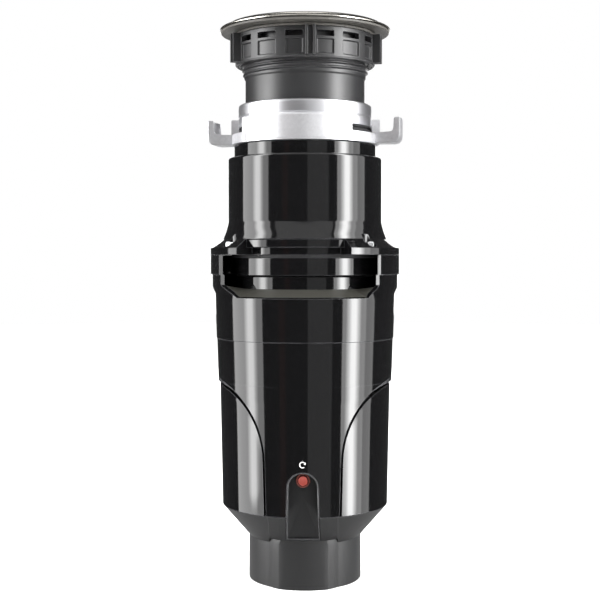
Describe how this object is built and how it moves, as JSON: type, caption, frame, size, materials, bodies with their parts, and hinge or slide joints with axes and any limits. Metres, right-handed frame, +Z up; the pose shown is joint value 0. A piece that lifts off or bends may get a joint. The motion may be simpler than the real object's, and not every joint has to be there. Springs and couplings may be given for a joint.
{
  "type": "kitchen garbage disposal",
  "caption": "Upright kitchen food waste disposer with a threaded sink mount, hooked lock ring, stepped black shell, rear discharge elbow and a reset button in an arched niche.",
  "frame": {"origin": "the middle of the underside of the base, on the motor shaft axis", "axes": "+Z up along the motor shaft towards the sink, the front with the reset button faces -Y, the discharge elbow is at +Y"},
  "size_m": [0.132, 0.1884, 0.3735],
  "materials": {
    "gloss_black_plastic": "gloss",
    "satin_black_plastic": "satin",
    "deep_black_plastic": "matte",
    "cast_aluminium": "satin",
    "polished_ring": "polished",
    "stainless_steel": "polished",
    "plated_steel": "plated",
    "steel": "satin",
    "black_rubber": "matte",
    "grey_rubber": "matte",
    "ferrite": "matte",
    "copper": "satin",
    "carbon": "matte",
    "red_plastic": "satin",
    "brown_plastic": "satin",
    "bakelite": "satin",
    "motor_paint": "satin"
  },
  "bodies": {
    "housing": {"base_cover": "satin_black_plastic", "bottom_plate": "satin_black_plastic", "main_shell": "gloss_black_plastic", "side_panel_left": "gloss_black_plastic", "side_panel_right": "gloss_black_plastic", "upper_shell": "gloss_black_plastic", "cord_gland": "black_rubber", "reset_niche": "deep_black_plastic", "reset_bezel": "brown_plastic", "overload_protector": "bakelite", "terminal_block": "bakelite", "rectifier": "bakelite", "motor_can": "motor_paint", "end_bell": "cast_aluminium", "magnet_left": "ferrite", "magnet_right": "ferrite", "upper_bearing": "steel", "lower_bearing": "steel", "brush_holder_left": "copper", "brush_holder_right": "copper", "brush_left": "carbon", "brush_right": "carbon", "drain_chamber": "gloss_black_plastic", "shaft_seal": "black_rubber", "chamber_gasket": "black_rubber", "grind_ring": "stainless_steel", "discharge_elbow": "satin_black_plastic", "elbow_gasket": "black_rubber", "elbow_flange": "plated_steel", "elbow_screw_left": "plated_steel", "elbow_screw_right": "plated_steel", "upper_housing": "gloss_black_plastic", "hopper_liner": "stainless_steel", "housing_screw_1": "plated_steel", "housing_screw_2": "plated_steel", "housing_screw_3": "plated_steel", "housing_screw_4": "plated_steel", "neck_seal": "black_rubber", "mounting_flange": "polished_ring", "neck_sleeve": "satin_black_plastic", "flange_gasket": "grey_rubber", "sink_flange": "stainless_steel", "splash_guard": "black_rubber"},
    "rotor": {"rotor_shaft": "steel", "commutator": "copper", "armature_core": "steel", "winding_lower": "copper", "winding_upper": "copper", "slinger": "black_rubber", "turntable": "stainless_steel", "turntable_nut": "plated_steel", "impeller_pin_left": "plated_steel", "impeller_pin_right": "plated_steel"},
    "left_impeller": {"impeller_left": "stainless_steel"},
    "right_impeller": {"impeller_right": "stainless_steel"},
    "locking_ring": {"lock_ring": "cast_aluminium"},
    "thrust_washer": {"thrust_ring": "grey_rubber"},
    "sink_nut": {"mounting_nut": "satin_black_plastic"},
    "reset_plunger": {"reset_button": "red_plastic"}
  },
  "joints": [
    {"name": "rotor_spin", "type": "hinge", "parent": "housing", "child": "rotor", "pos_m": [0, 0, 0.15], "axis": [0, 0, 1], "continuous": true},
    {"name": "left_impeller_swivel", "type": "hinge", "parent": "rotor", "child": "left_impeller", "pos_m": [-0.0265, 0, 0.2145], "axis": [0, 0, 1], "continuous": true},
    {"name": "right_impeller_swivel", "type": "hinge", "parent": "rotor", "child": "right_impeller", "pos_m": [0.0265, 0, 0.2145], "axis": [0, 0, 1], "continuous": true},
    {"name": "lock_ring_turn", "type": "hinge", "parent": "housing", "child": "locking_ring", "pos_m": [0, 0, 0.3], "axis": [0, 0, 1], "range_deg": [-40, 0]},
    {"name": "nut_travel", "type": "slide", "parent": "housing", "child": "thrust_washer", "axis": [0, 0, -1], "range_m": [0, 0.0064]},
    {"name": "nut_turn", "type": "hinge", "parent": "thrust_washer", "child": "sink_nut", "pos_m": [0, 0, 0.356], "axis": [0, 0, -1], "range_deg": [0, 720]},
    {"name": "reset_pop", "type": "slide", "parent": "housing", "child": "reset_plunger", "axis": [0, -1, 0], "range_m": [0, 0.003]}
  ],
  "couplings": [
    {"joint": "nut_turn", "follows": "nut_travel", "rad_per_m": 1963.5}
  ]
}
